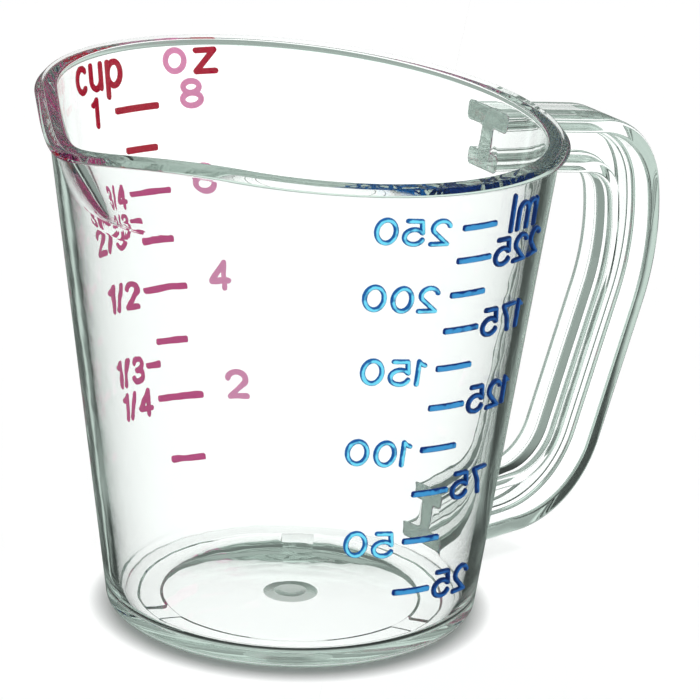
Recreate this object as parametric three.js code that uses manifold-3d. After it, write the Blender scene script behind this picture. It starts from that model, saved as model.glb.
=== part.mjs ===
// Clear moulded measuring cup for one US cup, with a pouring spout, a loop handle and two raised scales.
// Millimetres, +Z up. The cup stands on the XY plane with its handle along +X and its spout along -X.
import * as THREE from "three";
import { mergeVertices } from "three/addons/utils/BufferGeometryUtils.js";
import Module from "manifold-3d";

const wasm = await Module();
wasm.setup();

// Cup wall and floor: the base radius is the outer wall's on the table
// The rim's height follows from the scale's full volume and the freeboard above its highest mark
const baseRadius = 29.4;
const wallDraftDegrees = 7.94;
const freeboard = 7.8;
const wallThickness = 2.2;
const floorThickness = 2.4;
const outerCornerRadius = 1.8;
const innerCornerRadius = 2.2;

// Rim: a bead round the mouth, higher by the rise at the spout and lower by it at the handle
const rimRise = 4.6;
const beadReach = 1.3;
const beadHeight = 1.5;
const beadEdgeRadius = 0.45;

// Spout: the wall is drawn out to a keel that starts below the rim and ends beyond the bead
const spoutOverhang = 7.7;
const spoutDepth = 10.6;
const spoutTipRadius = 4;
const lipDrop = 1.2;

// Foot ring under the floor, with gaps that let wash water out
const footHeight = 0.8;
const footInnerRadius = 21;
const footWidth = 3.5;
const footDraft = 0.25;
const drainGapCount = 3;
const drainGapWidth = 5.3;
const drainGapDepth = 0.7;
const drainGapDegrees = 47;

// Moulding gate: a dimple under the middle of the floor, with the gate's nub inside it
const gateRadius = 4.4;
const gateDepth = 0.8;
const gateNubRadius = 2.6;
const gateNubHeight = 0.6;

// Handle: an I-section along an outline of straights and bends, given for its outer face
const handleStandOff = 31.6;
const handleTopDrop = 8.2;
const handleTopFallDegrees = 12.6;
const handleTopRadius = 15.9;
const handleTopEndDegrees = 83;
const handleGripRadius = 43.4;
const handleGripLeanDegrees = 20.8;
const handleFootRadius = 18.6;
const handleFootRiseDegrees = 0.7;
const handleFootHeight = 3.2;
const handleDepth = 9.7;
const outerFlangeWidth = 10;
const outerFlangeThickness = 2.6;
const innerFlangeWidth = 7.1;
const innerFlangeThickness = 2.3;
const webThickness = 2.4;
const flangeEdgeRadius = 0.6;
const handleSeatGap = 0.3;
const handleOverrun = 5;

// Raised marks of both scales, parallel to the rim, on the wall's outer face
const markHeight = 1.1;
const markRelief = 0.4;
const markSeatGap = 0.15;
const metricMarkLength = 7.4;
const metricMarkLeanDegrees = 3.3;
const wholeMarkLength = 9.9;
const ounceMarkLength = 7;
const thirdMarkLength = 3.4;
const thirdMarkShift = 4.9;
const ounceMarkLeanDegrees = 5.6;

// Volumes in millilitres
const metricStep = 25;
const metricMarks = 10;
const fluidOunce = 29.5735;
const ouncesPerCup = 8;
const thirdsPerCup = 3;
const cubicMillimetresPerMillilitre = 1000;

// Facets
const roundSegments = 84;
const spoutCrowding = 0.45;
const spoutLevels = 6;
const cornerDivisions = 2;
const bendDivisions = 7;
const markDivisions = 2;
const fillStep = 0.02;

const radians = THREE.MathUtils.degToRad;
const wallAngle = radians(wallDraftDegrees);
const wallTaper = Math.tan(wallAngle);
const wallAcross = wallThickness / Math.cos(wallAngle);
const floorTop = footHeight + floorThickness;

const clearPlastic = new THREE.MeshStandardMaterial({
  color: 0xe6efea,
  roughness: 0.06,
  metalness: 0,
  transparent: true,
  opacity: 0.4,
});
const blueInk = new THREE.MeshStandardMaterial({ color: 0x1668c0, roughness: 0.35, metalness: 0 });
const redInk = new THREE.MeshStandardMaterial({ color: 0xa5142c, roughness: 0.35, metalness: 0 });

// Wall and contents

function wallRadius(z) {
  return baseRadius + wallTaper * z;
}

function innerRadius(z) {
  return wallRadius(z) - wallAcross;
}

// Centre of a corner arc between a level face and a wall that leans outward
function cornerCentre(wallAtHeight, levelHeight, radius) {
  const z = levelHeight + radius;
  return new THREE.Vector2(wallAtHeight(z) - radius / Math.cos(wallAngle), z);
}

// Inside radius of the cup, with the rounded corner at the floor
function fillRadius(z) {
  const corner = cornerCentre(innerRadius, floorTop, innerCornerRadius);
  const below = corner.y - z;
  if (below <= innerCornerRadius * Math.sin(wallAngle)) return innerRadius(z);
  return corner.x + Math.sqrt(Math.max(0, innerCornerRadius ** 2 - below ** 2));
}

// Height of the liquid's surface when the cup holds a volume in millilitres
function fillHeight(volume) {
  let filled = 0;
  let z = floorTop;
  while (filled < volume * cubicMillimetresPerMillilitre) {
    filled += Math.PI * fillRadius(z + fillStep / 2) ** 2 * fillStep;
    z += fillStep;
  }
  return z;
}

// Rim on the axis, and what hangs on it
const rimHeight = fillHeight(metricMarks * metricStep) + freeboard;
const rimRadius = wallRadius(rimHeight);
const rimSlope = rimRise / rimRadius;
const beadBottom = rimHeight - beadHeight;
const spoutReach = rimRadius + beadReach + spoutOverhang;
const spoutRootHeight = rimHeight - spoutDepth;
const handleReach = rimRadius + handleStandOff;
const handleTopHeight = rimHeight - handleTopDrop;

// Solids

function toSolid(geometry) {
  const bare = geometry.index ? geometry.toNonIndexed() : geometry.clone();
  bare.deleteAttribute("normal");
  bare.deleteAttribute("uv");
  const merged = mergeVertices(bare);
  const corners = merged.index.array;
  const kept = [];
  for (let i = 0; i < corners.length; i += 3) {
    const [a, b, c] = corners.slice(i, i + 3);
    if (a !== b && b !== c && c !== a) kept.push(a, b, c);
  }
  return new wasm.Manifold(new wasm.Mesh({
    numProp: 3,
    vertProperties: new Float32Array(merged.attributes.position.array),
    triVerts: new Uint32Array(kept),
  }));
}

function toGeometry(solid) {
  const mesh = solid.getMesh();
  const geometry = new THREE.BufferGeometry();
  geometry.setAttribute("position", new THREE.BufferAttribute(mesh.vertProperties, mesh.numProp));
  geometry.setIndex(new THREE.BufferAttribute(mesh.triVerts, 1));
  return geometry;
}

function shapeVertices(geometry, move) {
  const position = geometry.attributes.position;
  const point = new THREE.Vector3();
  for (let i = 0; i < position.count; i += 1) {
    move(point.fromBufferAttribute(position, i));
    position.setXYZ(i, point.x, point.y, point.z);
  }
  return geometry;
}

// Cup body

const spoutTipHeight = rimHeight + rimRise - lipDrop;
const spoutRootRadius = wallRadius(spoutRootHeight);
const keelSlope = (spoutReach - beadReach - spoutRootRadius) / (spoutTipHeight - spoutRootHeight);
const spoutRounding = spoutTipRadius / spoutReach;

// How far the round wall is drawn out towards the keel: its sides are tangents from the keel to the circle
function spoutStretch(azimuth, z) {
  const keelRadius = spoutRootRadius + keelSlope * (z - spoutRootHeight);
  const roundShare = wallRadius(z) / Math.max(keelRadius, wallRadius(z));
  const besideKeel = Math.hypot(Math.PI - Math.abs(azimuth), spoutRounding) - spoutRounding;
  return 1 / Math.cos(Math.max(0, Math.acos(roundShare) - besideKeel));
}

const tipStretch = spoutStretch(Math.PI, spoutTipHeight);

// Height of the rim above its level on the axis
function rimLift(azimuth) {
  const lipShare = (spoutStretch(azimuth, spoutTipHeight) - 1) / (tipStretch - 1);
  return -rimRise * Math.cos(azimuth) - lipDrop * lipShare;
}

function cupProfile() {
  const outerCorner = cornerCentre(wallRadius, footHeight, outerCornerRadius);
  const innerCorner = cornerCentre(innerRadius, floorTop, innerCornerRadius);
  const footOuterRadius = footInnerRadius + footWidth;
  const gateTop = footHeight + gateDepth;
  const nubBottom = gateTop - gateNubHeight;
  const beadRadius = rimRadius + beadReach;
  const bore = innerRadius(rimHeight);
  const edgeHeight = rimHeight - beadEdgeRadius;
  const profile = new THREE.Path();
  profile.moveTo(0, nubBottom);
  profile.quadraticCurveTo(gateNubRadius, nubBottom, gateNubRadius, gateTop);
  profile.lineTo(gateRadius - gateDepth, gateTop);
  profile.lineTo(gateRadius, footHeight);
  profile.lineTo(footInnerRadius - footDraft, footHeight);
  profile.lineTo(footInnerRadius, 0);
  profile.lineTo(footOuterRadius, 0);
  profile.lineTo(footOuterRadius + footDraft, footHeight);
  profile.absarc(outerCorner.x, outerCorner.y, outerCornerRadius, -Math.PI / 2, -wallAngle, false);
  for (let i = 0; i <= spoutLevels; i += 1) {
    const z = THREE.MathUtils.lerp(spoutRootHeight, beadBottom, i / spoutLevels);
    profile.lineTo(wallRadius(z), z);
  }
  profile.lineTo(beadRadius, beadBottom + beadEdgeRadius);
  profile.absarc(beadRadius - beadEdgeRadius, edgeHeight, beadEdgeRadius, 0, Math.PI / 2, false);
  profile.absarc(bore + beadEdgeRadius, edgeHeight, beadEdgeRadius, Math.PI / 2, Math.PI, false);
  for (let i = spoutLevels; i >= 0; i -= 1) {
    const z = THREE.MathUtils.lerp(spoutRootHeight, beadBottom, i / spoutLevels);
    profile.lineTo(innerRadius(z), z);
  }
  profile.absarc(innerCorner.x, innerCorner.y, innerCornerRadius, -wallAngle, -Math.PI / 2, true);
  profile.lineTo(0, floorTop);
  return profile.getPoints(cornerDivisions);
}

// The revolved cup is lifted to its slanting rim and drawn out to the spout, ring by ring
function shapeCup(point) {
  const radius = Math.hypot(point.x, point.y);
  const turn = Math.atan2(point.y, point.x);
  const azimuth = turn + spoutCrowding * Math.sin(turn);
  const liftShare = THREE.MathUtils.smoothstep(point.z, spoutRootHeight, beadBottom);
  const z = point.z + rimLift(azimuth) * liftShare;
  const round = radius + wallTaper * (z - point.z);
  const stretched = round * spoutStretch(azimuth, z);
  point.set(stretched * Math.cos(azimuth), stretched * Math.sin(azimuth), z);
}

function cutDrainGaps(solid) {
  let cut = solid;
  const across = 2 * footWidth;
  for (let i = 0; i < drainGapCount; i += 1) {
    const gap = new THREE.BoxGeometry(across, drainGapWidth, 2 * drainGapDepth);
    gap.translate(footInnerRadius + footWidth / 2, 0, 0);
    gap.rotateZ(radians(drainGapDegrees) + (2 * Math.PI * i) / drainGapCount);
    cut = cut.subtract(toSolid(gap));
  }
  return cut;
}

function makeCupBody() {
  const revolved = new THREE.LatheGeometry(cupProfile(), roundSegments);
  revolved.rotateX(Math.PI / 2);
  shapeVertices(revolved, shapeCup);
  const solid = cutDrainGaps(toSolid(revolved));
  const mesh = new THREE.Mesh(toGeometry(solid), clearPlastic);
  mesh.name = "cup_body";
  return mesh;
}

// Handle

function ahead(heading) {
  return new THREE.Vector2(Math.cos(heading), Math.sin(heading));
}

// Direction from the handle's outer face to its inside
function inward(heading) {
  return new THREE.Vector2(Math.sin(heading), -Math.cos(heading));
}

// The outer face from the wall over the top, down the grip and back to the wall
function handleOutline() {
  const topHeading = -radians(handleTopFallDegrees);
  const turnHeading = -radians(handleTopEndDegrees);
  const gripHeading = -radians(90 + handleGripLeanDegrees);
  const footHeading = -radians(180 - handleFootRiseDegrees);
  const start = new THREE.Vector2(wallRadius(handleTopHeight), handleTopHeight);
  const finish = new THREE.Vector2(wallRadius(handleFootHeight), handleFootHeight);

  const gripCentre = new THREE.Vector2(handleReach - handleGripRadius, 0);
  const topCentre = inward(turnHeading).multiplyScalar(handleTopRadius - handleGripRadius).add(gripCentre);
  const topRun = (topCentre.x - start.x - inward(topHeading).x * handleTopRadius) / ahead(topHeading).x;
  const topBendStart = ahead(topHeading).multiplyScalar(topRun).add(start);
  const drop = topBendStart.y + inward(topHeading).y * handleTopRadius - topCentre.y;
  topCentre.y += drop;
  gripCentre.y += drop;

  // The foot bend touches the grip's straight and the straight along the foot
  const gripEnd = inward(gripHeading).multiplyScalar(-handleGripRadius).add(gripCentre);
  const overFoot = gripEnd.clone().add(inward(gripHeading).multiplyScalar(handleFootRadius)).sub(finish);
  const height = -overFoot.dot(inward(footHeading).negate());
  const gripRun = (height - handleFootRadius) / -ahead(gripHeading).dot(inward(footHeading));
  const footCentre = ahead(gripHeading).multiplyScalar(gripRun).add(overFoot).add(finish);

  const bends = [
    { centre: topCentre, radius: handleTopRadius, from: topHeading, to: turnHeading },
    { centre: gripCentre, radius: handleGripRadius, from: turnHeading, to: gripHeading },
    { centre: footCentre, radius: handleFootRadius, from: gripHeading, to: footHeading },
  ];
  // The raw ends run into the wall and are cut to it afterwards
  start.sub(ahead(topHeading).multiplyScalar(handleOverrun));
  finish.add(ahead(footHeading).multiplyScalar(handleOverrun));
  return { start, finish, bends, topHeading, footHeading };
}

// Band of the handle between two depths under its outer face, extruded across the handle
function handleBand(outline, nearDepth, farDepth, width, edgeRadius) {
  const quarter = Math.PI / 2;
  const startPoint = (depth) => inward(outline.topHeading).multiplyScalar(depth).add(outline.start);
  const finishPoint = (depth) => inward(outline.footHeading).multiplyScalar(depth).add(outline.finish);
  const shape = new THREE.Shape();
  shape.moveTo(startPoint(farDepth).x, startPoint(farDepth).y);
  shape.lineTo(startPoint(nearDepth).x, startPoint(nearDepth).y);
  for (const { centre, radius, from, to } of outline.bends) {
    shape.absarc(centre.x, centre.y, radius - nearDepth, from + quarter, to + quarter, true);
  }
  shape.lineTo(finishPoint(nearDepth).x, finishPoint(nearDepth).y);
  shape.lineTo(finishPoint(farDepth).x, finishPoint(farDepth).y);
  for (const { centre, radius, from, to } of outline.bends.toReversed()) {
    shape.absarc(centre.x, centre.y, radius - farDepth, to + quarter, from + quarter, false);
  }
  const band = new THREE.ExtrudeGeometry(shape, {
    depth: width - 2 * edgeRadius,
    curveSegments: bendDivisions,
    bevelEnabled: edgeRadius > 0,
    bevelThickness: edgeRadius,
    bevelSize: edgeRadius,
    bevelOffset: -edgeRadius,
    bevelSegments: 2,
  });
  band.translate(0, 0, edgeRadius - width / 2);
  band.rotateX(Math.PI / 2);
  return toSolid(band);
}

// Solid of the cup's outside, grown by the seat gap, that the handle's ends are cut to
function wallCutter() {
  const cutter = new THREE.CylinderGeometry(
    rimRadius + handleSeatGap,
    baseRadius + handleSeatGap,
    rimHeight,
    roundSegments,
  );
  cutter.rotateX(Math.PI / 2);
  cutter.translate(0, 0, rimHeight / 2);
  return toSolid(cutter);
}

function makeHandle() {
  const outline = handleOutline();
  const innerFlangeDepth = handleDepth - innerFlangeThickness;
  const outerFlange = handleBand(outline, 0, outerFlangeThickness, outerFlangeWidth, flangeEdgeRadius);
  const innerFlange = handleBand(outline, innerFlangeDepth, handleDepth, innerFlangeWidth, flangeEdgeRadius);
  const webStart = outerFlangeThickness / 2;
  const webEnd = handleDepth - innerFlangeThickness / 2;
  const web = handleBand(outline, webStart, webEnd, webThickness, 0);
  const solid = outerFlange.add(web).add(innerFlange).subtract(wallCutter());
  const mesh = new THREE.Mesh(toGeometry(solid), clearPlastic);
  mesh.name = "handle";
  return mesh;
}

// Scales

// Bar that hugs the wall at a volume's height
// Side is +1 or -1 along Y, and shift runs along the wall towards the spout
function makeMark(name, volume, side, length, leanDegrees, shift, material) {
  const z = fillHeight(volume);
  const radius = wallRadius(z);
  const lean = Math.tan(radians(leanDegrees)) * (z - rimHeight / 2);
  const middle = side * Math.PI / 2 + (lean + side * shift) / radius;
  const halfAngle = length / (2 * radius);
  const seat = radius + markSeatGap;
  const face = seat + markRelief;
  const shape = new THREE.Shape();
  shape.absarc(0, 0, face, middle - halfAngle, middle + halfAngle, false);
  shape.absarc(0, 0, seat, middle + halfAngle, middle - halfAngle, true);
  const bar = new THREE.ExtrudeGeometry(shape, {
    depth: markHeight,
    curveSegments: markDivisions,
    bevelEnabled: false,
  });
  const middleX = radius * Math.cos(middle);
  shapeVertices(bar, (point) => {
    const rise = point.z - markHeight / 2 - rimSlope * (point.x - middleX);
    const grown = 1 + (wallTaper * rise) / radius;
    point.set(point.x * grown, point.y * grown, z + rise);
  });
  const mesh = new THREE.Mesh(toGeometry(toSolid(bar)), material);
  mesh.name = name;
  return mesh;
}

function makeMetricScale() {
  const scale = new THREE.Group();
  for (let i = 1; i <= metricMarks; i += 1) {
    const volume = i * metricStep;
    const name = `ml_mark_${volume}`;
    scale.add(makeMark(name, volume, -1, metricMarkLength, metricMarkLeanDegrees, 0, blueInk));
  }
  return scale;
}

function makeOunceScale() {
  const scale = new THREE.Group();
  for (let ounces = 1; ounces <= ouncesPerCup; ounces += 1) {
    const length = ounces % 2 === 0 ? wholeMarkLength : ounceMarkLength;
    const volume = ounces * fluidOunce;
    scale.add(makeMark(`oz_mark_${ounces}`, volume, 1, length, ounceMarkLeanDegrees, 0, redInk));
  }
  for (let thirds = 1; thirds < thirdsPerCup; thirds += 1) {
    const volume = (thirds * ouncesPerCup * fluidOunce) / thirdsPerCup;
    const name = `cup_mark_${thirds}_${thirdsPerCup}`;
    scale.add(makeMark(name, volume, 1, thirdMarkLength, ounceMarkLeanDegrees, thirdMarkShift, redInk));
  }
  return scale;
}

// The cup's middle of length is brought over the origin
const cup = new THREE.Group();
cup.add(makeCupBody(), makeHandle(), makeMetricScale(), makeOunceScale());
const extent = new THREE.Box3().setFromObject(cup);
cup.position.x = -(extent.min.x + extent.max.x) / 2;
cup.updateMatrixWorld(true);

export default cup;
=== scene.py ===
import math

import bmesh
import bpy
from mathutils import Matrix, Vector


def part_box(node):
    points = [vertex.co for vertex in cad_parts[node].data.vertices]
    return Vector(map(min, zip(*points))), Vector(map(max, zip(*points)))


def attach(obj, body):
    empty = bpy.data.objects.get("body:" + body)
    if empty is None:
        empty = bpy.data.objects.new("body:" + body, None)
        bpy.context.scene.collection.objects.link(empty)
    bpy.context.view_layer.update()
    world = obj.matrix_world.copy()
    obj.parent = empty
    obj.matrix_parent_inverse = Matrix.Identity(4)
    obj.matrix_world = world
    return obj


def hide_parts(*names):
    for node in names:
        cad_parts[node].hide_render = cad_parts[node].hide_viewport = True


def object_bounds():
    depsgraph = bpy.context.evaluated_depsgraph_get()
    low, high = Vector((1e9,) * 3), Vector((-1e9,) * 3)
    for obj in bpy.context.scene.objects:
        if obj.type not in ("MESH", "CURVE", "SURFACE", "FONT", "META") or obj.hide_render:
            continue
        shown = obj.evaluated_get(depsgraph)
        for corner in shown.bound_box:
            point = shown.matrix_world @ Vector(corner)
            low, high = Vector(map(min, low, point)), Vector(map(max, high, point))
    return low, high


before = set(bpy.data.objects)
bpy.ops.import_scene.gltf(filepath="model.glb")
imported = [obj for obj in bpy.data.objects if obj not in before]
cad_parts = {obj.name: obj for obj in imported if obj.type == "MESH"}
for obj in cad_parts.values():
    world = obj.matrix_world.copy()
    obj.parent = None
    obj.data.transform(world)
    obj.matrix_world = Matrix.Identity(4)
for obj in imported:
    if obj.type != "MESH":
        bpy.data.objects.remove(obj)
cad_low, cad_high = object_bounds()

# A clear moulded measuring cup: one polycarbonate moulding, with the ink of two scales on raised marks.
# Sizes are in millimetres and are turned to metres where a mesh is finished.
MM = 0.001
SAME_POINT = 1e-4
ROUND_OFF = 1e-6
SHARP_EDGE = math.radians(32)

# Cup wall, rim, spout and foot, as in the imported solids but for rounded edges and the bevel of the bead
BASE_RADIUS = 29.4
WALL_DRAFT = math.radians(7.94)
WALL_THICKNESS = 2.2
RIM_HEIGHT = 84.6
FLOOR_UNDERSIDE = 0.8
FLOOR_TOP = 3.2
OUTER_CORNER = 1.8
INNER_CORNER = 2.2
RIM_RISE = 4.6
BEAD_REACH = 1.3
BEAD_HEIGHT = 1.5
BEAD_EDGE = 0.15
BEAD_FALL = 1.1
BEAD_CROWN = 0.4
BEAD_CROWN_REACH = 0.4
BEAD_ROOT_FILLET = 0.3
BEAD_LOWER_ROUNDING = 0.15
BEAD_UPPER_ROUNDING = 0.2
RIM_EDGE = 0.5
SPOUT_OVERHANG = 7.7
SPOUT_DEPTH = 10.6
SPOUT_TIP_RADIUS = 4.0
LIP_DROP = 1.2
SPOUT_CROWDING = 0.45
FOOT_INNER = 21.0
FOOT_WIDTH = 3.5
FOOT_DRAFT = 0.25
FOOT_EDGE = 0.2
DRAIN_GAPS = 3
DRAIN_GAP_WIDTH = 5.3
DRAIN_GAP_DEPTH = 0.7
DRAIN_GAP_TURN = math.radians(47)
GATE_RADIUS = 4.4
GATE_DEPTH = 0.8
GATE_NUB_RADIUS = 2.6
GATE_NUB_HEIGHT = 0.6
GATE_ROUNDING = 0.4
GATE_NUB_ROUNDING = 0.3
TORN_AND_SHADED_UNDER = 0.2
ROUND_STEPS = 256
CORNER_SEGMENTS = 6
SPOUT_RINGS = 18
WALL_RINGS = 30
SPAN_SLACK = 1.0

WALL_TAPER = math.tan(WALL_DRAFT)
WALL_ACROSS = WALL_THICKNESS / math.cos(WALL_DRAFT)
BEAD_BOTTOM = RIM_HEIGHT - BEAD_HEIGHT
SPOUT_ROOT = RIM_HEIGHT - SPOUT_DEPTH


def wall_radius(z):
    return BASE_RADIUS + WALL_TAPER * z


RIM_RADIUS = wall_radius(RIM_HEIGHT)
RIM_SLOPE = RIM_RISE / RIM_RADIUS
SPOUT_REACH = RIM_RADIUS + BEAD_REACH + SPOUT_OVERHANG
TIP_HEIGHT = RIM_HEIGHT + RIM_RISE - LIP_DROP
KEEL_SLOPE = (SPOUT_REACH - BEAD_REACH - wall_radius(SPOUT_ROOT)) / (TIP_HEIGHT - SPOUT_ROOT)
SPOUT_ROUNDING = SPOUT_TIP_RADIUS / SPOUT_REACH

# Handle: an I-section along straights and bends
HANDLE_STAND_OFF = 31.6
HANDLE_TOP_DROP = 8.2
TOP_FALL = math.radians(12.6)
TOP_RADIUS = 15.9
TOP_END = math.radians(83)
GRIP_RADIUS = 43.4
GRIP_LEAN = math.radians(20.8)
FOOT_RADIUS = 18.6
FOOT_RISE = math.radians(0.7)
HANDLE_FOOT_HEIGHT = 3.2
HANDLE_DEPTH = 9.7
OUTER_FLANGE = (10.0, 2.6)
INNER_FLANGE = (7.1, 2.3)
WEB = 2.4
FLANGE_EDGE = 0.6
WEB_FILLET = 0.7
ROOT_FILLET = 0.6
ROOT_ARC = 0.7
ROOT_RINGS = 14
ROOT_RING_STEP = 0.1
ROOT_FIRST_RING = 0.7
SECTION_CUTS = 7
HANDLE_OVERRUN = 5.0
BEND_STEPS = 40

HANDLE_REACH = RIM_RADIUS + HANDLE_STAND_OFF
AXIS = Vector((cad_high.x / MM - HANDLE_REACH, 0, 0))

# Scales: bars hug the wall where the solids are, and numbers stand beside them. They sink a little into the
# wall, so that the ink is on the plastic with no air between, and the rim picks up its colour.
MARK_SINK = 0.03
MARK_FACE = 0.55
BAR_HEIGHT = 1.1
BAR_CORNER = 0.35
BAR_CORNER_SEGMENTS = 4
BAR_EDGE = 0.42
BAR_EDGE_SEGMENTS = 5
BAR_CUTS = 8
METRIC_BAR = 7.4
ODD_OUNCE_BAR = 7.0
EVEN_OUNCE_BAR = 9.9
THIRD_BAR = 3.4
METRIC_STEP = 25
METRIC_FULL = 250
OUNCES_FULL = 8
DEEP_RED_FROM = 7

DIGIT = 4.9
ASIDE_DIGIT = 5.35
OUNCE_DIGIT = 5.1
OUNCE_UNIT = 4.5
NUMBER_GAP = 1.2
NUMBER_GAP_PER_ML = 0.004
ASIDE_GAP = 0.8
FRACTION_GAP = -6.2
THIRD_GAP = -2.4
BLUE_STROKE = 0.88
ASIDE_STROKE = 0.95
RED_STROKE = 1.0
ASIDE_TILT = RIM_SLOPE + 0.06
ONWARDS, BACKWARDS = 1, -1

# The pen that draws the letters
ARC_STEP = 12
LETTER_SPACE = 0.13
PEN_ROUNDNESS = 3
ROUND_END = ((0.98, 0.2), (0.87, 0.5), (0.5, 0.87))


# Meshes

def to_object(bm, name, material):
    """Turns a mesh in millimetres to a finished object in metres, smooth except along sharp edges."""
    bmesh.ops.scale(bm, vec=(MM, MM, MM), verts=bm.verts)
    bmesh.ops.recalc_face_normals(bm, faces=bm.faces)
    for face in bm.faces:
        face.smooth = True
    for edge in bm.edges:
        edge.smooth = edge.calc_face_angle(0) < SHARP_EDGE
    mesh = bpy.data.meshes.new(name)
    bm.to_mesh(mesh)
    bm.free()
    piece = bpy.data.objects.new(name, mesh)
    bpy.context.scene.collection.objects.link(piece)
    mesh.materials.append(material)
    return piece


def round_corner(bm, corner, turn, radius):
    """Rounds a corner of a flat face, where its outline takes that turn, to a radius."""
    bmesh.ops.bevel(
        bm, geom=[corner], offset=radius * math.tan(turn / 2), offset_type="OFFSET",
        affect="VERTICES", segments=CORNER_SEGMENTS, profile=0.5, material=-1,
    )


def outline(bm, points, rounding):
    """Closed outline of straight edges in the XZ plane, with the rounding given for each corner."""
    corners = [bm.verts.new((x, 0, z)) for x, z in points]
    bm.faces.new(corners)
    count = len(points)
    flat = [Vector(point) for point in points]
    for i, radius in enumerate(rounding):
        if radius:
            before = flat[i] - flat[i - 1]
            after = flat[(i + 1) % count] - flat[i]
            round_corner(bm, corners[i], before.angle(after), radius)
    bmesh.ops.delete(bm, geom=bm.faces[:], context="FACES_ONLY")
    return bm.edges[:]


# Cup

def spout_stretch(azimuth, z):
    """How far the wall is drawn out at a height: its sides are tangents from the keel to the round wall."""
    keel = wall_radius(SPOUT_ROOT) + KEEL_SLOPE * (z - SPOUT_ROOT)
    share = wall_radius(z) / max(keel, wall_radius(z))
    beside = math.hypot(math.pi - abs(azimuth), SPOUT_ROUNDING) - SPOUT_ROUNDING
    return 1 / math.cos(max(0.0, math.acos(share) - beside))


def rim_lift(azimuth):
    """Height of the slanting rim above its height on the axis, with the lip a little lower."""
    share = (spout_stretch(azimuth, TIP_HEIGHT) - 1) / (spout_stretch(math.pi, TIP_HEIGHT) - 1)
    return -RIM_RISE * math.cos(azimuth) - LIP_DROP * share


def shape_cup(point):
    """Lifts a point of the revolved cup to the slanting rim and draws it out to the spout."""
    turn = math.atan2(point.y, point.x)
    azimuth = turn + SPOUT_CROWDING * math.sin(turn)
    rise = min(1.0, max(0.0, (point.z - SPOUT_ROOT) / (BEAD_BOTTOM - SPOUT_ROOT)))
    z = point.z + rim_lift(azimuth) * rise * rise * (3 - 2 * rise)
    radius = (point.xy.length + WALL_TAPER * (z - point.z)) * spout_stretch(azimuth, z)
    return Vector((radius * math.cos(azimuth), radius * math.sin(azimuth), z))


def cup_mesh():
    """The cup's profile, spun round the axis and then drawn to the slanting rim and the spout."""
    inner = WALL_ACROSS
    bead = RIM_RADIUS + BEAD_REACH
    gate_top = FLOOR_UNDERSIDE + GATE_DEPTH
    foot_outer = FOOT_INNER + FOOT_WIDTH
    profile = [
        ((0, gate_top - GATE_NUB_HEIGHT), 0),
        ((GATE_NUB_RADIUS / 2, gate_top - GATE_NUB_HEIGHT), GATE_NUB_RADIUS),
        ((GATE_NUB_RADIUS, gate_top), GATE_NUB_ROUNDING),
        ((GATE_RADIUS, FLOOR_UNDERSIDE), GATE_ROUNDING),
        ((FOOT_INNER - FOOT_DRAFT, FLOOR_UNDERSIDE), FOOT_EDGE),
        ((FOOT_INNER, 0), FOOT_EDGE),
        ((foot_outer, 0), FOOT_EDGE),
        ((foot_outer + FOOT_DRAFT, FLOOR_UNDERSIDE), FOOT_EDGE),
        ((wall_radius(FLOOR_UNDERSIDE), FLOOR_UNDERSIDE), OUTER_CORNER),
        ((wall_radius(SPOUT_ROOT), SPOUT_ROOT), 0),
        ((wall_radius(BEAD_BOTTOM), BEAD_BOTTOM), BEAD_ROOT_FILLET),
        ((bead, BEAD_BOTTOM + BEAD_EDGE), BEAD_LOWER_ROUNDING),
        ((bead, RIM_HEIGHT - BEAD_FALL), BEAD_UPPER_ROUNDING),
        ((RIM_RADIUS + BEAD_CROWN_REACH, RIM_HEIGHT), BEAD_CROWN),
        ((RIM_RADIUS - inner, RIM_HEIGHT), RIM_EDGE),
        ((wall_radius(BEAD_BOTTOM) - inner, BEAD_BOTTOM), 0),
        ((wall_radius(SPOUT_ROOT) - inner, SPOUT_ROOT), 0),
        ((wall_radius(FLOOR_TOP) - inner, FLOOR_TOP), INNER_CORNER),
        ((0, FLOOR_TOP), 0),
    ]
    bm = bmesh.new()
    edges = outline(bm, [place for place, _ in profile], [radius for _, radius in profile])
    on_axis = [e for e in edges if all(abs(v.co.x) < ROUND_OFF for v in e.verts)]
    bmesh.ops.delete(bm, geom=on_axis, context="EDGES")
    spans = ((SPOUT_ROOT, BEAD_BOTTOM, SPOUT_RINGS), (OUTER_CORNER, SPOUT_ROOT, WALL_RINGS))
    for low, high, rings in spans:
        long = [
            e for e in bm.edges
            if e.calc_length() > (high - low) / 2
            and low - SPAN_SLACK < min(v.co.z for v in e.verts)
            and max(v.co.z for v in e.verts) < high + SPAN_SLACK
        ]
        bmesh.ops.subdivide_edges(bm, edges=long, cuts=rings)
    bmesh.ops.spin(
        bm, geom=bm.verts[:] + bm.edges[:], cent=(0, 0, 0), axis=(0, 0, 1),
        angle=2 * math.pi, steps=ROUND_STEPS, use_merge=True,
    )
    bmesh.ops.remove_doubles(bm, verts=bm.verts, dist=SAME_POINT)
    for vert in bm.verts:
        if vert.co.xy.length > SAME_POINT:
            vert.co = shape_cup(vert.co)
    bmesh.ops.translate(bm, vec=AXIS, verts=bm.verts)
    return bm


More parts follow.
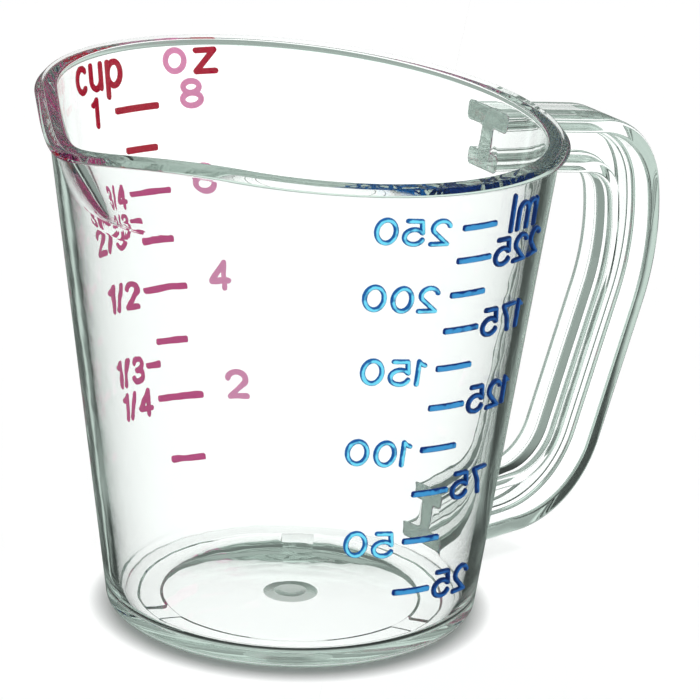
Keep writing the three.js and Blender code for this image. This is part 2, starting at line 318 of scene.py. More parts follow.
def drain_gap_mesh():
    """Blocks that cut the drain gaps out of the foot ring."""
    bm = bmesh.new()
    for i in range(DRAIN_GAPS):
        gap = bmesh.ops.create_cube(bm, size=1)["verts"]
        bmesh.ops.scale(bm, vec=(2 * FOOT_WIDTH, DRAIN_GAP_WIDTH, 2 * DRAIN_GAP_DEPTH), verts=gap)
        bmesh.ops.translate(bm, vec=(FOOT_INNER + FOOT_WIDTH / 2, 0, 0), verts=gap)
        turn = DRAIN_GAP_TURN + 2 * math.pi * i / DRAIN_GAPS
        bmesh.ops.rotate(bm, cent=(0, 0, 0), matrix=Matrix.Rotation(turn, 3, "Z"), verts=gap)
    bmesh.ops.translate(bm, vec=AXIS, verts=bm.verts)
    return bm


# Handle

def ahead(heading):
    return Vector((math.cos(heading), 0, math.sin(heading)))


def inward(heading):
    return Vector((math.sin(heading), 0, -math.cos(heading)))


def handle_route():
    """Start, finish and bends (centre, radius, two headings) of the outer face, with the axis at x = 0."""
    top, turn = -TOP_FALL, -TOP_END
    grip, foot = -(math.pi / 2 + GRIP_LEAN), -(math.pi - FOOT_RISE)
    height = RIM_HEIGHT - HANDLE_TOP_DROP
    start = Vector((wall_radius(height), 0, height))
    finish = Vector((wall_radius(HANDLE_FOOT_HEIGHT), 0, HANDLE_FOOT_HEIGHT))
    grip_centre = Vector((HANDLE_REACH - GRIP_RADIUS, 0, 0))
    top_centre = grip_centre + inward(turn) * (TOP_RADIUS - GRIP_RADIUS)
    run = (top_centre.x - start.x - inward(top).x * TOP_RADIUS) / ahead(top).x
    drop = Vector((0, 0, (start + ahead(top) * run + inward(top) * TOP_RADIUS - top_centre).z))
    top_centre += drop
    grip_centre += drop
    over_foot = grip_centre + inward(grip) * (FOOT_RADIUS - GRIP_RADIUS) - finish
    level = over_foot.dot(inward(foot))
    grip_run = (level - FOOT_RADIUS) / -ahead(grip).dot(inward(foot))
    foot_centre = finish + over_foot + ahead(grip) * grip_run
    bends = [
        (top_centre, TOP_RADIUS, top, turn),
        (grip_centre, GRIP_RADIUS, turn, grip),
        (foot_centre, FOOT_RADIUS, grip, foot),
    ]
    return start, finish, bends


def section_corners():
    """The I-section across Y and down from the outer face, and the rounding of each corner."""
    outer, inner = OUTER_FLANGE[0] / 2, INNER_FLANGE[0] / 2
    web = WEB / 2
    under, over = OUTER_FLANGE[1], HANDLE_DEPTH - INNER_FLANGE[1]
    half = [
        (outer, 0, FLANGE_EDGE), (outer, under, FLANGE_EDGE), (web, under, WEB_FILLET),
        (web, over, WEB_FILLET), (inner, over, FLANGE_EDGE), (inner, HANDLE_DEPTH, FLANGE_EDGE),
    ]
    return half + [(-y, depth, radius) for y, depth, radius in reversed(half)]


def run_on(bm, edges, vec):
    """Carries the section straight on, and gives its edges at the far end."""
    made = bmesh.ops.extrude_edge_only(bm, edges=edges)["geom"]
    bmesh.ops.translate(bm, vec=vec, verts=[g for g in made if isinstance(g, bmesh.types.BMVert)])
    return [g for g in made if isinstance(g, bmesh.types.BMEdge)]


def widen_roots(bm, out_of_wall):
    """Widens both ends to a fillet at the wall."""
    foot_of_wall = Vector((wall_radius(0), 0, 0))
    for ring in range(ROOT_RINGS):
        place = foot_of_wall + out_of_wall * (ROOT_FIRST_RING - ring * ROOT_RING_STEP)
        bmesh.ops.bisect_plane(
            bm, geom=bm.verts[:] + bm.edges[:] + bm.faces[:], plane_co=place, plane_no=out_of_wall,
        )
    bmesh.ops.recalc_face_normals(bm, faces=bm.faces)
    bm.normal_update()
    for vert in bm.verts:
        clear_of_wall = (vert.co.xy.length - wall_radius(vert.co.z)) * math.cos(WALL_DRAFT)
        near = min(max(ROOT_FILLET - clear_of_wall, 0), ROOT_ARC)
        vert.co += vert.normal * (ROOT_ARC - math.sqrt(ROOT_ARC ** 2 - near ** 2))


def handle_mesh():
    """The I-section, carried along straights and bends from wall to wall."""
    start, finish, bends = handle_route()
    corners = section_corners()
    bm = bmesh.new()
    outline(bm, [(y, -depth) for y, depth, _ in corners], [radius for _, _, radius in corners])
    wide = [e for e in bm.edges if e.calc_length() > WEB]
    bmesh.ops.subdivide_edges(bm, edges=wide, cuts=SECTION_CUTS)
    # The section is drawn across X and down Z: it is turned across Y and stood on the route's start
    top = bends[0][2]
    across, down = Vector((0, 1, 0)), inward(top)
    begin = start - ahead(top) * HANDLE_OVERRUN
    for vert in bm.verts:
        vert.co = begin + across * vert.co.x - down * vert.co.z
    last = bm.edges[:]
    place = begin
    for centre, radius, turn_from, turn_to in bends:
        entry = centre - inward(turn_from) * radius
        if (entry - place).length > SAME_POINT:
            last = run_on(bm, last, entry - place)
        verts = list({v for e in last for v in e.verts})
        made = bmesh.ops.spin(
            bm, geom=verts + last, cent=centre, axis=(0, 1, 0),
            angle=turn_from - turn_to, steps=BEND_STEPS,
        )["geom_last"]
        last = [g for g in made if isinstance(g, bmesh.types.BMEdge)]
        place = centre - inward(turn_to) * radius
    run_on(bm, last, finish + ahead(bends[-1][3]) * HANDLE_OVERRUN - place)
    bmesh.ops.remove_doubles(bm, verts=bm.verts, dist=SAME_POINT)
    out_of_wall = Vector((math.cos(WALL_DRAFT), 0, -math.sin(WALL_DRAFT)))
    widen_roots(bm, out_of_wall)
    # Both ends stop half way through the wall
    half_way = Vector((wall_radius(0) - WALL_ACROSS / 2, 0, 0))
    bmesh.ops.bisect_plane(
        bm, geom=bm.verts[:] + bm.edges[:] + bm.faces[:], plane_co=half_way, plane_no=out_of_wall,
        clear_inner=True,
    )
    bmesh.ops.holes_fill(bm, edges=[e for e in bm.edges if e.is_boundary], sides=0)
    bmesh.ops.translate(bm, vec=AXIS, verts=bm.verts)
    return bm


# Scales

def to_wall(bm, side, u0, z0, reading, tilt):
    """Lays a flat mesh on the unrolled cone of the wall, and rolls that up: x runs along the reading
    direction, y up and z out of the wall. Side is the Y side of the cup, and u0 runs along the wall
    towards +X. Relief is 0 at the foot of a mark and 1 on top."""
    # The ink's painted light and shade follows this relief, from foot to top
    relief = bm.verts.layers.float.new("relief")
    slant = wall_radius(z0) / math.sin(WALL_DRAFT)
    for vert in bm.verts:
        vert[relief] = (vert.co.z + MARK_SINK) / (MARK_FACE + MARK_SINK)
        along = reading * vert.co.x
        flat = Vector((along, slant + vert.co.y - tilt * along))
        z = z0 + (flat.length - slant) * math.cos(WALL_DRAFT)
        turn = u0 / wall_radius(z0) + math.atan2(flat.x, flat.y) / math.sin(WALL_DRAFT)
        azimuth = side * (math.pi / 2 - turn)
        radius = wall_radius(z) + vert.co.z
        vert.co = AXIS + Vector((radius * math.cos(azimuth), radius * math.sin(azimuth), z))


def node_place(name):
    """Arc from the Y line towards +X, and height, of a mark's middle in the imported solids."""
    low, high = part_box(name)
    middle = (low + high) / 2 / MM - AXIS
    side = 1 if middle.y > 0 else -1
    radius = wall_radius(middle.z)
    return side, radius * (math.pi / 2 - side * math.atan2(middle.y, middle.x)), middle.z


def add_bar(name, node, length, material):
    """A bar with rounded corners and a rounded top edge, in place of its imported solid."""
    side, u, z = node_place(node)
    bm = bmesh.new()
    bmesh.ops.create_cube(bm, size=1)
    bmesh.ops.scale(bm, vec=(length, BAR_HEIGHT, MARK_FACE + MARK_SINK), verts=bm.verts)
    bmesh.ops.translate(bm, vec=(0, 0, (MARK_FACE - MARK_SINK) / 2), verts=bm.verts)
    upright = [e for e in bm.edges if abs(e.verts[0].co.z - e.verts[1].co.z) > ROUND_OFF]
    bmesh.ops.bevel(
        bm, geom=upright, offset=BAR_CORNER, offset_type="OFFSET", affect="EDGES",
        segments=BAR_CORNER_SEGMENTS, profile=0.5, material=-1,
    )
    upper = [e for e in bm.edges if min(v.co.z for v in e.verts) > MARK_FACE - ROUND_OFF]
    bmesh.ops.bevel(
        bm, geom=upper, offset=BAR_EDGE, offset_type="OFFSET", affect="EDGES",
        segments=BAR_EDGE_SEGMENTS, profile=0.5, material=-1,
    )
    along = [e for e in bm.edges if abs(e.verts[0].co.x - e.verts[1].co.x) > length / 2]
    bmesh.ops.subdivide_edges(bm, edges=along, cuts=BAR_CUTS, use_grid_fill=True)
    to_wall(bm, side, u, z, ONWARDS, RIM_SLOPE)
    piece = to_object(bm, name, material)
    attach(piece, "root")
    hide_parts(node)


def arc(x, y, across, up, first, last):
    """Points of an elliptic arc from one direction in degrees to another, either way round."""
    count = max(3, int(abs(last - first) / ARC_STEP))
    turns = [math.radians(first + (last - first) * i / count) for i in range(count + 1)]
    return [(x + across * math.cos(t), y + up * math.sin(t)) for t in turns]


# Width and strokes of each letter in letter heights, as centre lines of a pen that is one stroke wide
LETTERS = {
    "0": (0.80, [arc(0.40, 0.5, 0.40, 0.5, 0, 360)]),
    "1": (0.28, [[(0.28, 0), (0.28, 1)], [(0.28, 1), (0.14, 0.87), (0.0, 0.82)]]),
    "2": (0.80, [arc(0.39, 0.70, 0.39, 0.30, 165, -35) + [(0.06, 0.0)], [(0.06, 0.0), (0.80, 0.0)]]),
    "3": (0.70, [
        arc(0.34, 0.75, 0.31, 0.25, 160, -90) + [(0.25, 0.5)],
        [(0.33, 0.5)] + arc(0.34, 0.25, 0.36, 0.25, 84, -165),
    ]),
    "4": (0.76, [[(0.76, 0.27), (0.0, 0.27)], [(0.0, 0.27), (0.56, 1.0)], [(0.56, 1.0), (0.56, 0.0)]]),
    "5": (0.82, [
        [(0.74, 1.0), (0.14, 1.0)], [(0.14, 1.0), (0.06, 0.5)],
        arc(0.41, 0.32, 0.41, 0.32, 146, -158),
    ]),
    "6": (0.80, [
        arc(0.40, 0.32, 0.40, 0.32, 0, 360),
        arc(0.42, 0.62, 0.42, 0.38, 35, 180) + [(0.0, 0.36)],
    ]),
    "7": (0.76, [[(0.0, 1.0), (0.76, 1.0)], [(0.76, 1.0), (0.46, 0.55), (0.30, 0.0)]]),
    "8": (0.84, [arc(0.42, 0.76, 0.36, 0.24, 0, 360), arc(0.42, 0.26, 0.42, 0.26, 0, 360)]),
    "/": (0.30, [[(0.0, 0.0), (0.30, 1.0)]]),
    "m": (0.90, [
        [(0.0, 0.0), (0.0, 0.74)],
        [(0.0, 0.4)] + arc(0.225, 0.52, 0.225, 0.22, 180, 0) + [(0.45, 0.0)],
        [(0.45, 0.4)] + arc(0.675, 0.52, 0.225, 0.22, 180, 0) + [(0.90, 0.0)],
    ]),
    "l": (0.0, [[(0.0, 0.0), (0.0, 1.0)]]),
    "c": (0.58, [arc(0.32, 0.37, 0.32, 0.37, 48, 312)]),
    "u": (0.56, [
        [(0.0, 0.74), (0.0, 0.3)] + arc(0.28, 0.28, 0.28, 0.28, 180, 360),
        [(0.56, 0.74), (0.56, 0.0)],
    ]),
    "p": (0.62, [[(0.0, 0.74), (0.0, -0.32)], arc(0.31, 0.37, 0.31, 0.37, 0, 360)]),
    "O": (1.02, [arc(0.51, 0.5, 0.51, 0.5, 0, 360)]),
    "Z": (1.0, [[(0.04, 1.0), (0.98, 1.0)], [(0.98, 1.0), (0.0, 0.0)], [(0.0, 0.0), (1.0, 0.0)]]),
}


def rounded(points, half):
    """Points of an open stroke with their widths, and with round ends."""
    line = [Vector(point) for point in points]
    ends = []
    for end, inner in ((line[0], line[1]), (line[-1], line[-2])):
        away = (end - inner).normalized() * half
        ends.append([(end + away * reach, width) for reach, width in ROUND_END])
    return ends[0] + [(point, 1.0) for point in line] + ends[1][::-1]


def letters_mesh(text, height, stroke):
    """Raised letters in the plane: every stroke is a half-round rib with a flat foot."""
    pen = bpy.data.curves.new("letters", "CURVE")
    pen.dimensions = "3D"
    pen.bevel_depth = stroke / 2
    pen.bevel_resolution = PEN_ROUNDNESS
    pen.use_fill_caps = True
    tall = height - stroke
    x = stroke / 2
    for letter in text:
        width, strokes = LETTERS[letter]
        for points in strokes:
            line = [Vector((x + px * tall, stroke / 2 + py * tall)) for px, py in points]
            closed = (line[0] - line[-1]).length < ROUND_OFF
            knots = [(point, 1.0) for point in line[:-1]] if closed else rounded(line, stroke / 2)
            spline = pen.splines.new("POLY")
            spline.points.add(len(knots) - 1)
            spline.use_cyclic_u = closed
            for knot, (point, breadth) in zip(spline.points, knots):
                knot.co = (*point, 0, 1)
                knot.radius = breadth
        x += width * tall + stroke + LETTER_SPACE * height
    writing = bpy.data.objects.new("letters", pen)
    bpy.context.scene.collection.objects.link(writing)
    bpy.context.view_layer.update()
    shapes = bpy.context.evaluated_depsgraph_get()
    flat = bpy.data.meshes.new_from_object(writing.evaluated_get(shapes))
    bpy.data.objects.remove(writing)
    bm = bmesh.new()
    bm.from_mesh(flat)
    bmesh.ops.remove_doubles(bm, verts=bm.verts, dist=SAME_POINT)
    rise = (MARK_FACE + MARK_SINK) / (stroke / 2)
    for vert in bm.verts:
        vert.co.z = max(vert.co.z, 0) * rise - MARK_SINK
    return bm


def add_letters(name, text, node, height, along, up, reading, stroke, material, tilt=RIM_SLOPE):
    """Letters beside a bar: along is from the bar's middle to their nearer edge, ahead or behind."""
    side, u, z = node_place(node)
    bm = letters_mesh(text, height, stroke)
    left, right = min(v.co.x for v in bm.verts), max(v.co.x for v in bm.verts)
    near = left if along > 0 else right
    bmesh.ops.translate(bm, vec=(along - near, up - height / 2, 0), verts=bm.verts)
    to_wall(bm, side, u, z, reading, tilt)
    piece = to_object(bm, name, material)
    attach(piece, "root")


# Materials

PLASTIC_IOR = 1.585
PLASTIC_DEEP = "#C6CCC9"
PLASTIC_DENSITY = 9.0
MELT_WAVE = 9.0
MELT_WAVE_HEIGHT = 0.03
INK_ROUGHNESS = 0.3
INK_IOR = 1.4
INK_GLOSS = 0.3
INK_PATCH = 1.6
INK_BLEND = 0.26
INK_GRAIN = 0.3
INK_GRAIN_HEIGHT = 0.03
# Relief and coat together, from which the colour of the top shows; the change of colour with relief is
# painted light and shade
TOP_ALONE = 1.2
SIDES_TOO = 0.78


def linear(hex_code):
    """Linear colour of an sRGB hex value."""
    channels = [int(hex_code[i:i + 2], 16) / 255 for i in (1, 3, 5)]
    return [c / 12.92 if c <= 0.04045 else ((c + 0.055) / 1.055) ** 2.4 for c in channels] + [1.0]


def add_node(tree, kind, inputs=None, **settings):
    """Adds a node, with inputs that are values or outputs of other nodes, and gives its outputs."""
    node = tree.nodes.new(kind)
    for key, value in settings.items():
        setattr(node, key, value)
    for socket, value in (inputs or {}).items():
        if isinstance(value, bpy.types.NodeSocket):
            tree.links.new(value, node.inputs[socket])
        else:
            node.inputs[socket].default_value = value
    return node.outputs


def new_material(name):
    material = bpy.data.materials.new(name)
    material.use_nodes = True
    material.node_tree.nodes.clear()
    return material, material.node_tree


def polycarbonate(name, colour, roughness):
    """Clear moulded polycarbonate: glossy from a polished mould, faintly grey-green where it is deep, with
    the slow waviness that the melt leaves in the wall. Where the sprue was torn off, it is dull, and its
    grey is painted shade in place of the darkening that the gate's dimple shows."""
    material, tree = new_material(name)
    place = add_node(tree, "ShaderNodeTexCoord")["Object"]
    flow = add_node(tree, "ShaderNodeTexNoise", {
        "Vector": place, "Scale": 1 / (MELT_WAVE * MM), "Detail": 2.0,
    })
    bump = add_node(tree, "ShaderNodeBump", {
        "Height": flow["Fac"], "Strength": 1.0, "Distance": MELT_WAVE_HEIGHT * MM,
    })
    surface = add_node(tree, "ShaderNodeBsdfPrincipled", {
        "Base Color": linear(colour), "Roughness": roughness, "IOR": PLASTIC_IOR,
        "Transmission Weight": 1.0, "Normal": bump["Normal"],
    })
    depth = add_node(tree, "ShaderNodeVolumeAbsorption", {
        "Color": linear(PLASTIC_DEEP), "Density": PLASTIC_DENSITY,
    })
    add_node(tree, "ShaderNodeOutputMaterial", {"Surface": surface["BSDF"], "Volume": depth["Volume"]})
    return material


def ink(name, foot, top, top_colour_from):
    """Enamel ink rolled on raised marks: the top is patchy and a little grainy. Its colour changes from the
    foot to the top of the relief, and that change is painted light and shade of the relief. The last
    argument says how far down the colour of the top goes."""
    material, tree = new_material(name)
    place = add_node(tree, "ShaderNodeTexCoord")["Object"]
    relief = add_node(tree, "ShaderNodeAttribute", attribute_name="relief")["Fac"]
    coat = add_node(tree, "ShaderNodeTexNoise", {
        "Vector": place, "Scale": 1 / (INK_PATCH * MM), "Detail": 4.0,
    })["Fac"]
    # Painted light and shade: foot and top colours blend by relief height, with random patches
    relief_and_patches = add_node(tree, "ShaderNodeMath", {0: relief, 1: coat}, operation="ADD")[0]
    top_share = add_node(tree, "ShaderNodeMapRange", {
        "Value": relief_and_patches, "From Min": top_colour_from, "From Max": top_colour_from + INK_BLEND,
    }, interpolation_type="SMOOTHSTEP")[0]
    colour = add_node(tree, "ShaderNodeMix", {
        0: top_share, 6: linear(foot), 7: linear(top),
    }, data_type="RGBA")[2]
    grain = add_node(tree, "ShaderNodeTexNoise", {
        "Vector": place, "Scale": 1 / (INK_GRAIN * MM), "Detail": 2.0,
    })
    bump = add_node(tree, "ShaderNodeBump", {
        "Height": grain["Fac"], "Strength": 0.5, "Distance": INK_GRAIN_HEIGHT * MM,
    })
    surface = add_node(tree, "ShaderNodeBsdfPrincipled", {
        "Base Color": colour, "Roughness": INK_ROUGHNESS, "IOR": INK_IOR,
        "Specular IOR Level": INK_GLOSS, "Normal": bump["Normal"],
    })
    add_node(tree, "ShaderNodeOutputMaterial", {"Surface": surface["BSDF"]})
    return material


# The moulding: cup and handle are one piece of plastic

def joined(base, other, operation):
    """Mesh of base with the other solid added or cut out, and both helpers removed."""
    change = base.modifiers.new("join", "BOOLEAN")
    change.operation = operation
    change.solver = "EXACT"
    change.object = other
    bpy.context.view_layer.update()
    shapes = bpy.context.evaluated_depsgraph_get()
    mesh = bpy.data.meshes.new_from_object(base.evaluated_get(shapes))
    bpy.data.objects.remove(base)
    bpy.data.objects.remove(other)
    bm = bmesh.new()
    bm.from_mesh(mesh)
    bmesh.ops.scale(bm, vec=(1 / MM,) * 3, verts=bm.verts)
    return bm


clear = polycarbonate("polycarbonate_clear_moulded", "#FBFDFC", 0.0)
# Torn sprue: dull, and grey as painted shade of the gate's dimple
torn_gate_painted_shade = polycarbonate("polycarbonate_torn_sprue_painted_shade", "#868F8A", 0.35)
# Foot and top colours of each ink differ as painted light and shade of the relief
blue = ink("enamel_ink_blue", "#052E78", "#3C98D4", TOP_ALONE)
# Paler, deeper and pinker copies of the inks, each used for some of the marks
blue_pale = ink("enamel_ink_blue_pale", "#155EA6", "#74E2FF", TOP_ALONE)
blue_deep = ink("enamel_ink_blue_deep", "#0A2C68", "#2060A8", TOP_ALONE)
red = ink("enamel_ink_red", "#C70035", "#A8123C", SIDES_TOO)
red_pink = ink("enamel_ink_red_pink", "#E44E98", "#A81A46", SIDES_TOO)
red_pale = ink("enamel_ink_red_pale", "#FFA2D2", "#C84880", SIDES_TOO)

cup = to_object(cup_mesh(), "cup_raw", clear)
gaps = to_object(drain_gap_mesh(), "gap_raw", clear)
cup = to_object(joined(cup, gaps, "DIFFERENCE"), "cup_cut", clear)
loop = to_object(handle_mesh(), "handle_raw", clear)
whole = joined(cup, loop, "UNION")
# The torn gate takes the second material, whose grey is painted shade
for face in whole.faces:
    middle = face.calc_center_median() - AXIS
    face.material_index = int(middle.xy.length < GATE_RADIUS and middle.z < FLOOR_TOP - TORN_AND_SHADED_UNDER)
moulding = to_object(whole, "cup_moulding", clear)
moulding.data.materials.append(torn_gate_painted_shade)
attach(moulding, "root")
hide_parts("cup_body", "handle")

for volume in range(METRIC_STEP, METRIC_FULL + METRIC_STEP, METRIC_STEP):
    add_bar(f"ml_bar_{volume}", f"ml_mark_{volume}", METRIC_BAR, blue)
for ounces in range(1, OUNCES_FULL + 1):
    length = ODD_OUNCE_BAR if ounces % 2 else EVEN_OUNCE_BAR
    # Lower ounce bars take a pinker copy of the red ink
    coat = red if ounces >= DEEP_RED_FROM else red_pink
    add_bar(f"oz_bar_{ounces}", f"oz_mark_{ounces}", length, coat)
for thirds in (1, 2):
    add_bar(f"cup_bar_{thirds}_3", f"cup_mark_{thirds}_3", THIRD_BAR, red_pink)

for volume in range(2 * METRIC_STEP, METRIC_FULL + METRIC_STEP, 2 * METRIC_STEP):
    add_letters(
        f"ml_number_{volume}", str(volume), f"ml_mark_{volume}", height=DIGIT,
        along=METRIC_BAR / 2 + NUMBER_GAP + NUMBER_GAP_PER_ML * volume, up=-0.45,
        reading=BACKWARDS, stroke=BLUE_STROKE, material=blue_pale,
    )
for volume in range(METRIC_STEP, METRIC_FULL, 2 * METRIC_STEP):
    add_letters(
        f"ml_number_{volume}", str(volume), f"ml_mark_{volume}", height=ASIDE_DIGIT,
        along=-METRIC_BAR / 2 - ASIDE_GAP, up=0.5,
        reading=BACKWARDS, stroke=ASIDE_STROKE, material=blue_deep, tilt=ASIDE_TILT,
    )
add_letters(
    "ml_unit", "ml", "ml_mark_250", height=7.1, along=-7.2, up=1.3,
    reading=BACKWARDS, stroke=1.0, material=blue_deep, tilt=ASIDE_TILT,
)
for ounces in range(2, OUNCES_FULL + 1, 2):
    add_letters(
        f"oz_number_{ounces}", str(ounces), f"oz_mark_{ounces}", height=OUNCE_DIGIT, along=9.2, up=1.5,
        reading=ONWARDS, stroke=RED_STROKE, material=red_pale,
    )
add_letters(
    "oz_unit_o", "O", "oz_mark_8", height=OUNCE_UNIT, along=6.4, up=7.1,
    reading=ONWARDS, stroke=RED_STROKE, material=red_pale,
)
add_letters(
    "oz_unit_z", "Z", "oz_mark_8", height=OUNCE_UNIT, along=12.1, up=6.8,
    reading=ONWARDS, stroke=RED_STROKE, material=red,
)
add_letters(
    "cup_number_1", "1", "oz_mark_8", height=5.3, along=-9.7, up=0.4,
    reading=ONWARDS, stroke=RED_STROKE, material=red,
)
for fraction, node, along in (
    ("1/4", "oz_mark_2", FRACTION_GAP),
    ("1/2", "oz_mark_4", FRACTION_GAP),
    ("3/4", "oz_mark_6", FRACTION_GAP),
    ("1/3", "cup_mark_1_3", THIRD_GAP),
    ("2/3", "cup_mark_2_3", THIRD_GAP),
):
    add_letters(
        "cup_number_" + fraction.replace("/", "_"), fraction, node, height=DIGIT, along=along, up=-0.3,
        reading=ONWARDS, stroke=RED_STROKE, material=red_pink,
    )
add_letters(
    "cup_unit", "cup", "oz_mark_8", height=6.4, along=-2.6, up=7.0,
    reading=ONWARDS, stroke=1.1, material=red,
)


# Studio: floor and room are plain white to the camera. Clear plastic shows them by the way that light took
# through it, as it shows flags and strips round a product: dark where the first wall turned it, which draws
# the edges. What is seen straight through is raised by what the surfaces of the plastic lose.

FLOOR_SIDE = 40.0
FLOOR_GAP = 0.02
PAPER = "#8A8A8A"
FLOOR_GLOW = 0.75
# Painted contact shadow: reach, samples and power of the ambient occlusion that darkens the floor's glow
PAINTED_SHADOW_REACH = 3.5
PAINTED_SHADOW_SAMPLES = 16
PAINTED_SHADOW_POWER = 2.0
WHITE = "#FFFFFF"
TURNED_TINT = "#E6F8EF"

# Strengths by the way through plastic
STRAIGHT = 1.35
STRAIGHT_DOWN = 1.5
UNDER_CUP = 1.0
TURNED = 0.03
STRIP = 1.2
BEHIND = 0.8
BESIDE = 0.4
ROOM_TURNED = 1.0
TURNED_DEEP = 0.22
TURNED_OFTEN = 1.0
GLOSS = 0.12
INK_LIGHT = 1.3
DEEP_PASSES = (2.0, 3.0)
OFTEN_BOUNCES = (3.0, 5.0)

# Where the floor's zones begin and end, in millimetres from the axis and in slopes from the line of sight
PHOTO_TURN = math.radians(-41)
FOOT_ZONE = (24, 28)
FAR_ZONE = (50, 64)
BEHIND_SLOPE = (2.0, 2.9)
BESIDE_SLOPE = (0.48, 0.7)
STRIP_START = 32
STRIP_SPREAD = 0.57
STRIP_WIDTH = 0.15

# The room, by the height of a direction
WALL_TOP = (0.15, 0.45)
CEILING = 0.45
SOFTBOX_EDGE = (0.8, 0.9)
SOFTBOX = 0.7

BLEND = {"interpolation_type": "SMOOTHSTEP"}


def floor_place(tree):
    """Place on the floor from the cup's axis, X to the right of the photograph and Y away, and its reach."""
    place = add_node(tree, "ShaderNodeNewGeometry")["Position"]
    place = add_node(tree, "ShaderNodeVectorMath", {0: place, 1: AXIS * MM}, operation="SUBTRACT")[0]
    place = add_node(tree, "ShaderNodeVectorRotate", {
        "Vector": place, "Angle": -PHOTO_TURN,
    }, rotation_type="Z_AXIS")[0]
    reach = add_node(tree, "ShaderNodeVectorMath", {0: place}, operation="LENGTH")["Value"]
    across = add_node(tree, "ShaderNodeSeparateXYZ", {0: place})
    return across["X"], across["Y"], reach


def floor_levels(tree):
    """What the floor gives to light that went straight through, which is white through the base too, and to
    light that the first wall turned: dark, but for a strip that parts the left edge, for the ways behind and
    beside the cup that the handle shows, and for the floor under the cup."""
    x, y, reach = floor_place(tree)
    left = add_node(tree, "ShaderNodeMath", {0: x, 1: -1.0}, operation="MULTIPLY")[0]
    line = add_node(tree, "ShaderNodeMath", {
        0: y, 1: STRIP_SPREAD, 2: STRIP_START * MM,
    }, operation="MULTIPLY_ADD")[0]
    strip = add_node(tree, "ShaderNodeMath", {0: left, 1: line}, operation="SUBTRACT")[0]
    strip = add_node(tree, "ShaderNodeMath", {0: strip}, operation="ABSOLUTE")[0]
    depth = add_node(tree, "ShaderNodeMath", {0: y, 1: MM}, operation="MAXIMUM")[0]
    strip = add_node(tree, "ShaderNodeMath", {0: strip, 1: depth}, operation="DIVIDE")[0]
    strip = add_node(tree, "ShaderNodeMapRange", {
        0: strip, 1: 0.0, 2: STRIP_WIDTH, 3: STRIP, 4: TURNED,
    }, **BLEND)[0]
    aside = add_node(tree, "ShaderNodeMath", {0: x}, operation="ABSOLUTE")[0]
    slope = add_node(tree, "ShaderNodeMath", {0: y, 1: aside}, operation="DIVIDE")[0]
    behind = add_node(tree, "ShaderNodeMapRange", {
        0: slope, 1: BEHIND_SLOPE[0], 2: BEHIND_SLOPE[1], 3: TURNED, 4: BEHIND,
    }, **BLEND)[0]
    beside = add_node(tree, "ShaderNodeMapRange", {
        0: slope, 1: BESIDE_SLOPE[0], 2: BESIDE_SLOPE[1], 3: BESIDE, 4: TURNED,
    }, **BLEND)[0]
    around = add_node(tree, "ShaderNodeMath", {0: behind, 1: beside}, operation="MAXIMUM")[0]
    far = add_node(tree, "ShaderNodeMapRange", {
        0: reach, 1: FAR_ZONE[0] * MM, 2: FAR_ZONE[1] * MM,
    }, **BLEND)[0]
    around = add_node(tree, "ShaderNodeMix", {0: far, 2: TURNED, 3: around})[0]
    around = add_node(tree, "ShaderNodeMath", {0: around, 1: strip}, operation="MAXIMUM")[0]
    out = add_node(tree, "ShaderNodeMapRange", {
        0: reach, 1: FOOT_ZONE[0] * MM, 2: FOOT_ZONE[1] * MM,
    }, **BLEND)[0]
    turned = add_node(tree, "ShaderNodeMix", {0: out, 2: UNDER_CUP, 3: around})[0]
    straight = add_node(tree, "ShaderNodeMix", {0: out, 2: STRAIGHT_DOWN, 3: STRAIGHT})[0]
    return straight, turned


def seen_in_plastic(tree, rays, straight, turned, deep, often):
    """Light by the way through plastic: straight through, turned in the first wall, turned behind it, or
    turned often. Turned light is faintly green, the outer gloss is dim, and what falls on ink is white."""
    shown = turned
    for kind, (low, high), level in (
        ("Transmission Depth", DEEP_PASSES, deep), ("Glossy Depth", OFTEN_BOUNCES, often),
    ):
        share = add_node(tree, "ShaderNodeMapRange", {0: rays[kind], 1: low, 2: high}, **BLEND)[0]
        shown = add_node(tree, "ShaderNodeMix", {0: share, 2: shown, 3: level})[0]
    shown = add_node(tree, "ShaderNodeMix", {0: rays["Glossy Depth"], 2: straight, 3: shown})[0]
    shown = add_node(tree, "ShaderNodeMix", {0: rays["Transmission Depth"], 2: GLOSS, 3: shown})[0]
    shown = add_node(tree, "ShaderNodeMix", {0: rays["Diffuse Depth"], 2: shown, 3: INK_LIGHT})[0]
    colour = add_node(tree, "ShaderNodeMix", {
        0: rays["Glossy Depth"], 6: linear(WHITE), 7: linear(TURNED_TINT),
    }, data_type="RGBA")[2]
    return {"Color": colour, "Strength": shown}


def through_plastic(tree, rays):
    """1 for light that plastic passed on or reflected."""
    kinds = {0: rays["Is Transmission Ray"], 1: rays["Is Glossy Ray"]}
    return add_node(tree, "ShaderNodeMath", kinds, operation="MAXIMUM")[0]


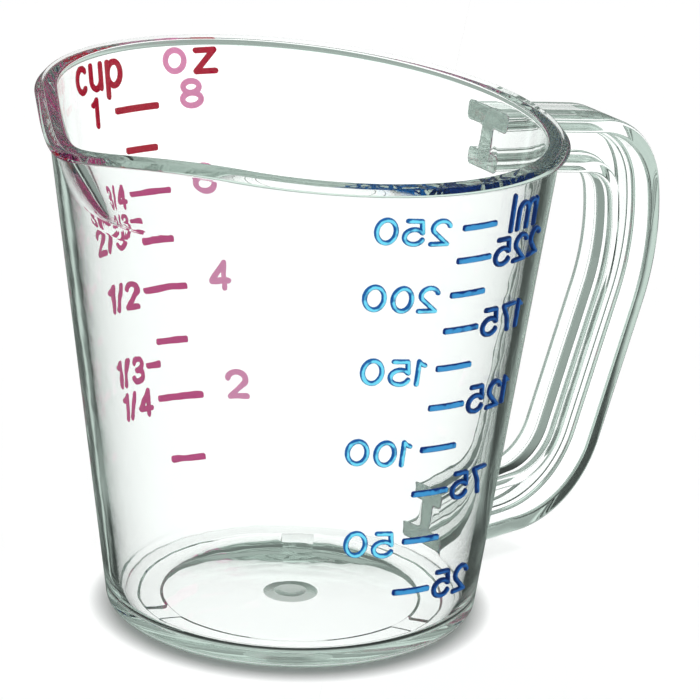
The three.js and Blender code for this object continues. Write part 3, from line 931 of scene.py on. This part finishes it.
def add_floor():
    """White paper: its diffuse part keeps the cup's own shadow, and the glow that keeps it white fades with
    ambient occlusion close to the cup, a painted contact shadow.
    """
    material, tree = new_material("white_sweep")
    rays = add_node(tree, "ShaderNodeLightPath")
    shown = seen_in_plastic(tree, rays, *floor_levels(tree), TURNED_DEEP, TURNED_OFTEN)
    # Painted contact shadow: the glow fades with ambient occlusion near the cup
    corner = add_node(tree, "ShaderNodeAmbientOcclusion", {
        "Distance": PAINTED_SHADOW_REACH * MM,
    }, samples=PAINTED_SHADOW_SAMPLES)["AO"]
    outside_painted_shadow = add_node(tree, "ShaderNodeMath", {0: corner, 1: PAINTED_SHADOW_POWER}, operation="POWER")[0]
    glow = add_node(tree, "ShaderNodeMath", {0: outside_painted_shadow, 1: FLOOR_GLOW}, operation="MULTIPLY")[0]
    paper = add_node(tree, "ShaderNodeBsdfDiffuse", {"Color": linear(PAPER)})[0]
    lift = add_node(tree, "ShaderNodeEmission", {"Color": linear(WHITE), "Strength": glow})[0]
    paper = add_node(tree, "ShaderNodeAddShader", {0: paper, 1: lift})[0]
    backdrop = add_node(tree, "ShaderNodeEmission", shown)[0]
    mixed = add_node(tree, "ShaderNodeMixShader", {
        0: through_plastic(tree, rays), 1: paper, 2: backdrop,
    })[0]
    add_node(tree, "ShaderNodeOutputMaterial", {"Surface": mixed})
    bm = bmesh.new()
    bmesh.ops.create_grid(bm, x_segments=1, y_segments=1, size=FLOOR_SIDE / MM / 2)
    bmesh.ops.translate(bm, vec=(0, 0, -FLOOR_GAP), verts=bm.verts)
    to_object(bm, "floor", material)


def add_room():
    """White room, which clear plastic shows with a dimmer ceiling and a softbox overhead."""
    world = bpy.data.worlds.new("studio")
    bpy.context.scene.world = world
    world.use_nodes = True
    tree = world.node_tree
    tree.nodes.clear()
    rays = add_node(tree, "ShaderNodeLightPath")
    way = add_node(tree, "ShaderNodeTexCoord")["Generated"]
    height = add_node(tree, "ShaderNodeSeparateXYZ", {0: way})["Z"]
    wall = add_node(tree, "ShaderNodeMapRange", {
        0: height, 1: WALL_TOP[0], 2: WALL_TOP[1], 3: 1.0, 4: CEILING,
    }, **BLEND)[0]
    softbox = add_node(tree, "ShaderNodeMapRange", {
        0: height, 1: SOFTBOX_EDGE[0], 2: SOFTBOX_EDGE[1], 3: 0.0, 4: SOFTBOX,
    }, **BLEND)[0]
    room = add_node(tree, "ShaderNodeMath", {0: wall, 1: softbox}, operation="ADD")[0]
    levels = [
        add_node(tree, "ShaderNodeMath", {0: room, 1: level}, operation="MULTIPLY")[0]
        for level in (STRAIGHT, ROOM_TURNED, TURNED_DEEP, TURNED_OFTEN)
    ]
    plain = add_node(tree, "ShaderNodeBackground", {"Color": linear(WHITE), "Strength": 1.0})[0]
    around = add_node(tree, "ShaderNodeBackground", seen_in_plastic(tree, rays, *levels))[0]
    mixed = add_node(tree, "ShaderNodeMixShader", {0: through_plastic(tree, rays), 1: plain, 2: around})[0]
    add_node(tree, "ShaderNodeOutputWorld", {"Surface": mixed})


# Camera, as fitted to edges of the photograph
SENSOR = 36
LENS = 488.85
FAR_CLIP = 100
CAMERA_TARGET = Vector((-5.07, -5.40, 44.04))
CAMERA_BACK = Vector((-0.6113, -0.7030, 0.3634)).normalized()
CAMERA_LEVEL = Vector((0.7546, -0.6562, 0)).normalized()
CAMERA_ROLL = math.radians(2.026)
CAMERA_DISTANCE = 1516.5


def add_camera():
    lens = bpy.data.cameras.new("camera")
    lens.sensor_width = SENSOR
    lens.lens = LENS
    lens.clip_end = FAR_CLIP
    camera = bpy.data.objects.new("camera", lens)
    bpy.context.scene.collection.objects.link(camera)
    rise = CAMERA_BACK.cross(CAMERA_LEVEL)
    right = CAMERA_LEVEL * math.cos(CAMERA_ROLL) + rise * math.sin(CAMERA_ROLL)
    up = rise * math.cos(CAMERA_ROLL) - CAMERA_LEVEL * math.sin(CAMERA_ROLL)
    turn = Matrix((right, up, CAMERA_BACK)).transposed().to_4x4()
    place = (CAMERA_TARGET + CAMERA_BACK * CAMERA_DISTANCE) * MM
    camera.matrix_world = Matrix.Translation(place) @ turn
    bpy.context.scene.camera = camera


add_floor()
add_room()
add_camera()

# Light may bounce often inside the plastic before it leaves
PLASTIC_BOUNCES = 256
INK_BOUNCES = 8
scene = bpy.context.scene
scene.view_settings.view_transform = "Standard"
scene.cycles.max_bounces = PLASTIC_BOUNCES
scene.cycles.transmission_bounces = PLASTIC_BOUNCES
scene.cycles.glossy_bounces = PLASTIC_BOUNCES
scene.cycles.diffuse_bounces = INK_BOUNCES
scene.cycles.blur_glossy = 0
scene.cycles.sample_clamp_indirect = 0
